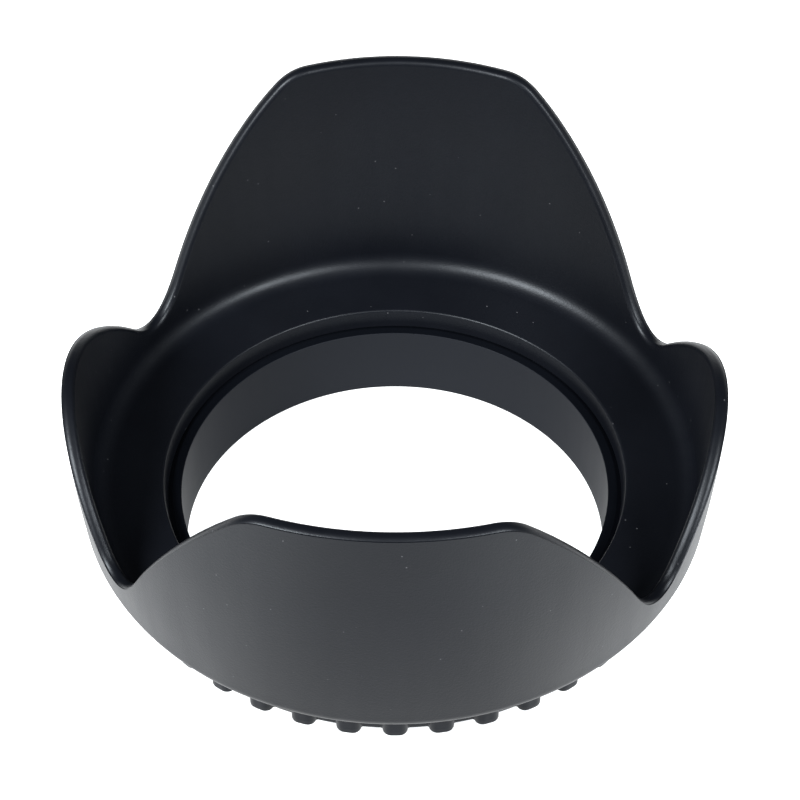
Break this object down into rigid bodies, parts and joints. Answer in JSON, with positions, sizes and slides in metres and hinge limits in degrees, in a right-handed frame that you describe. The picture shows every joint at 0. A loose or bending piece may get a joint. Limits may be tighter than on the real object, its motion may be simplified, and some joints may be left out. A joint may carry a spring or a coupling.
{
  "type": "lens hood",
  "caption": "Screw-in petal lens hood: black shade that turns on a threaded mount ring and is clamped by a knurled lock ring.",
  "frame": {"origin": "centre of the mount ring's rear end face, on the optical axis", "axes": "+Z forward along the optical axis, away from the lens; the long petals stand on +Y and -Y, the short petals on +X and -X"},
  "size_m": [0.0833, 0.084, 0.0474],
  "materials": {
    "shade_plastic": "fine-grained satin black ABS",
    "mount_plastic": "smooth satin black ABS",
    "lock_plastic": "satin black ABS",
    "washer_nylon": "smooth dark nylon"
  },
  "bodies": {
    "mount": {"mount_ring": "mount_plastic"},
    "shade": {"petal_shade": "shade_plastic"},
    "washer": {"friction_washer": "washer_nylon"},
    "lock": {"lock_ring": "lock_plastic"}
  },
  "joints": [
    {"name": "shade_turn", "type": "hinge", "parent": "mount", "child": "shade", "pos_m": [0, 0, 0.0092], "axis": [0, 0, 1], "continuous": true},
    {"name": "lock_travel", "type": "slide", "parent": "mount", "child": "washer", "axis": [0, 0, 1], "range_m": [-0.0015, 0]},
    {"name": "lock_turn", "type": "hinge", "parent": "washer", "child": "lock", "pos_m": [0, 0, 0.0079], "axis": [0, 0, 1], "range_deg": [-720, 0]}
  ],
  "couplings": [
    {"joint": "lock_travel", "follows": "lock_turn", "m_per_rad": 0.00011936}
  ]
}
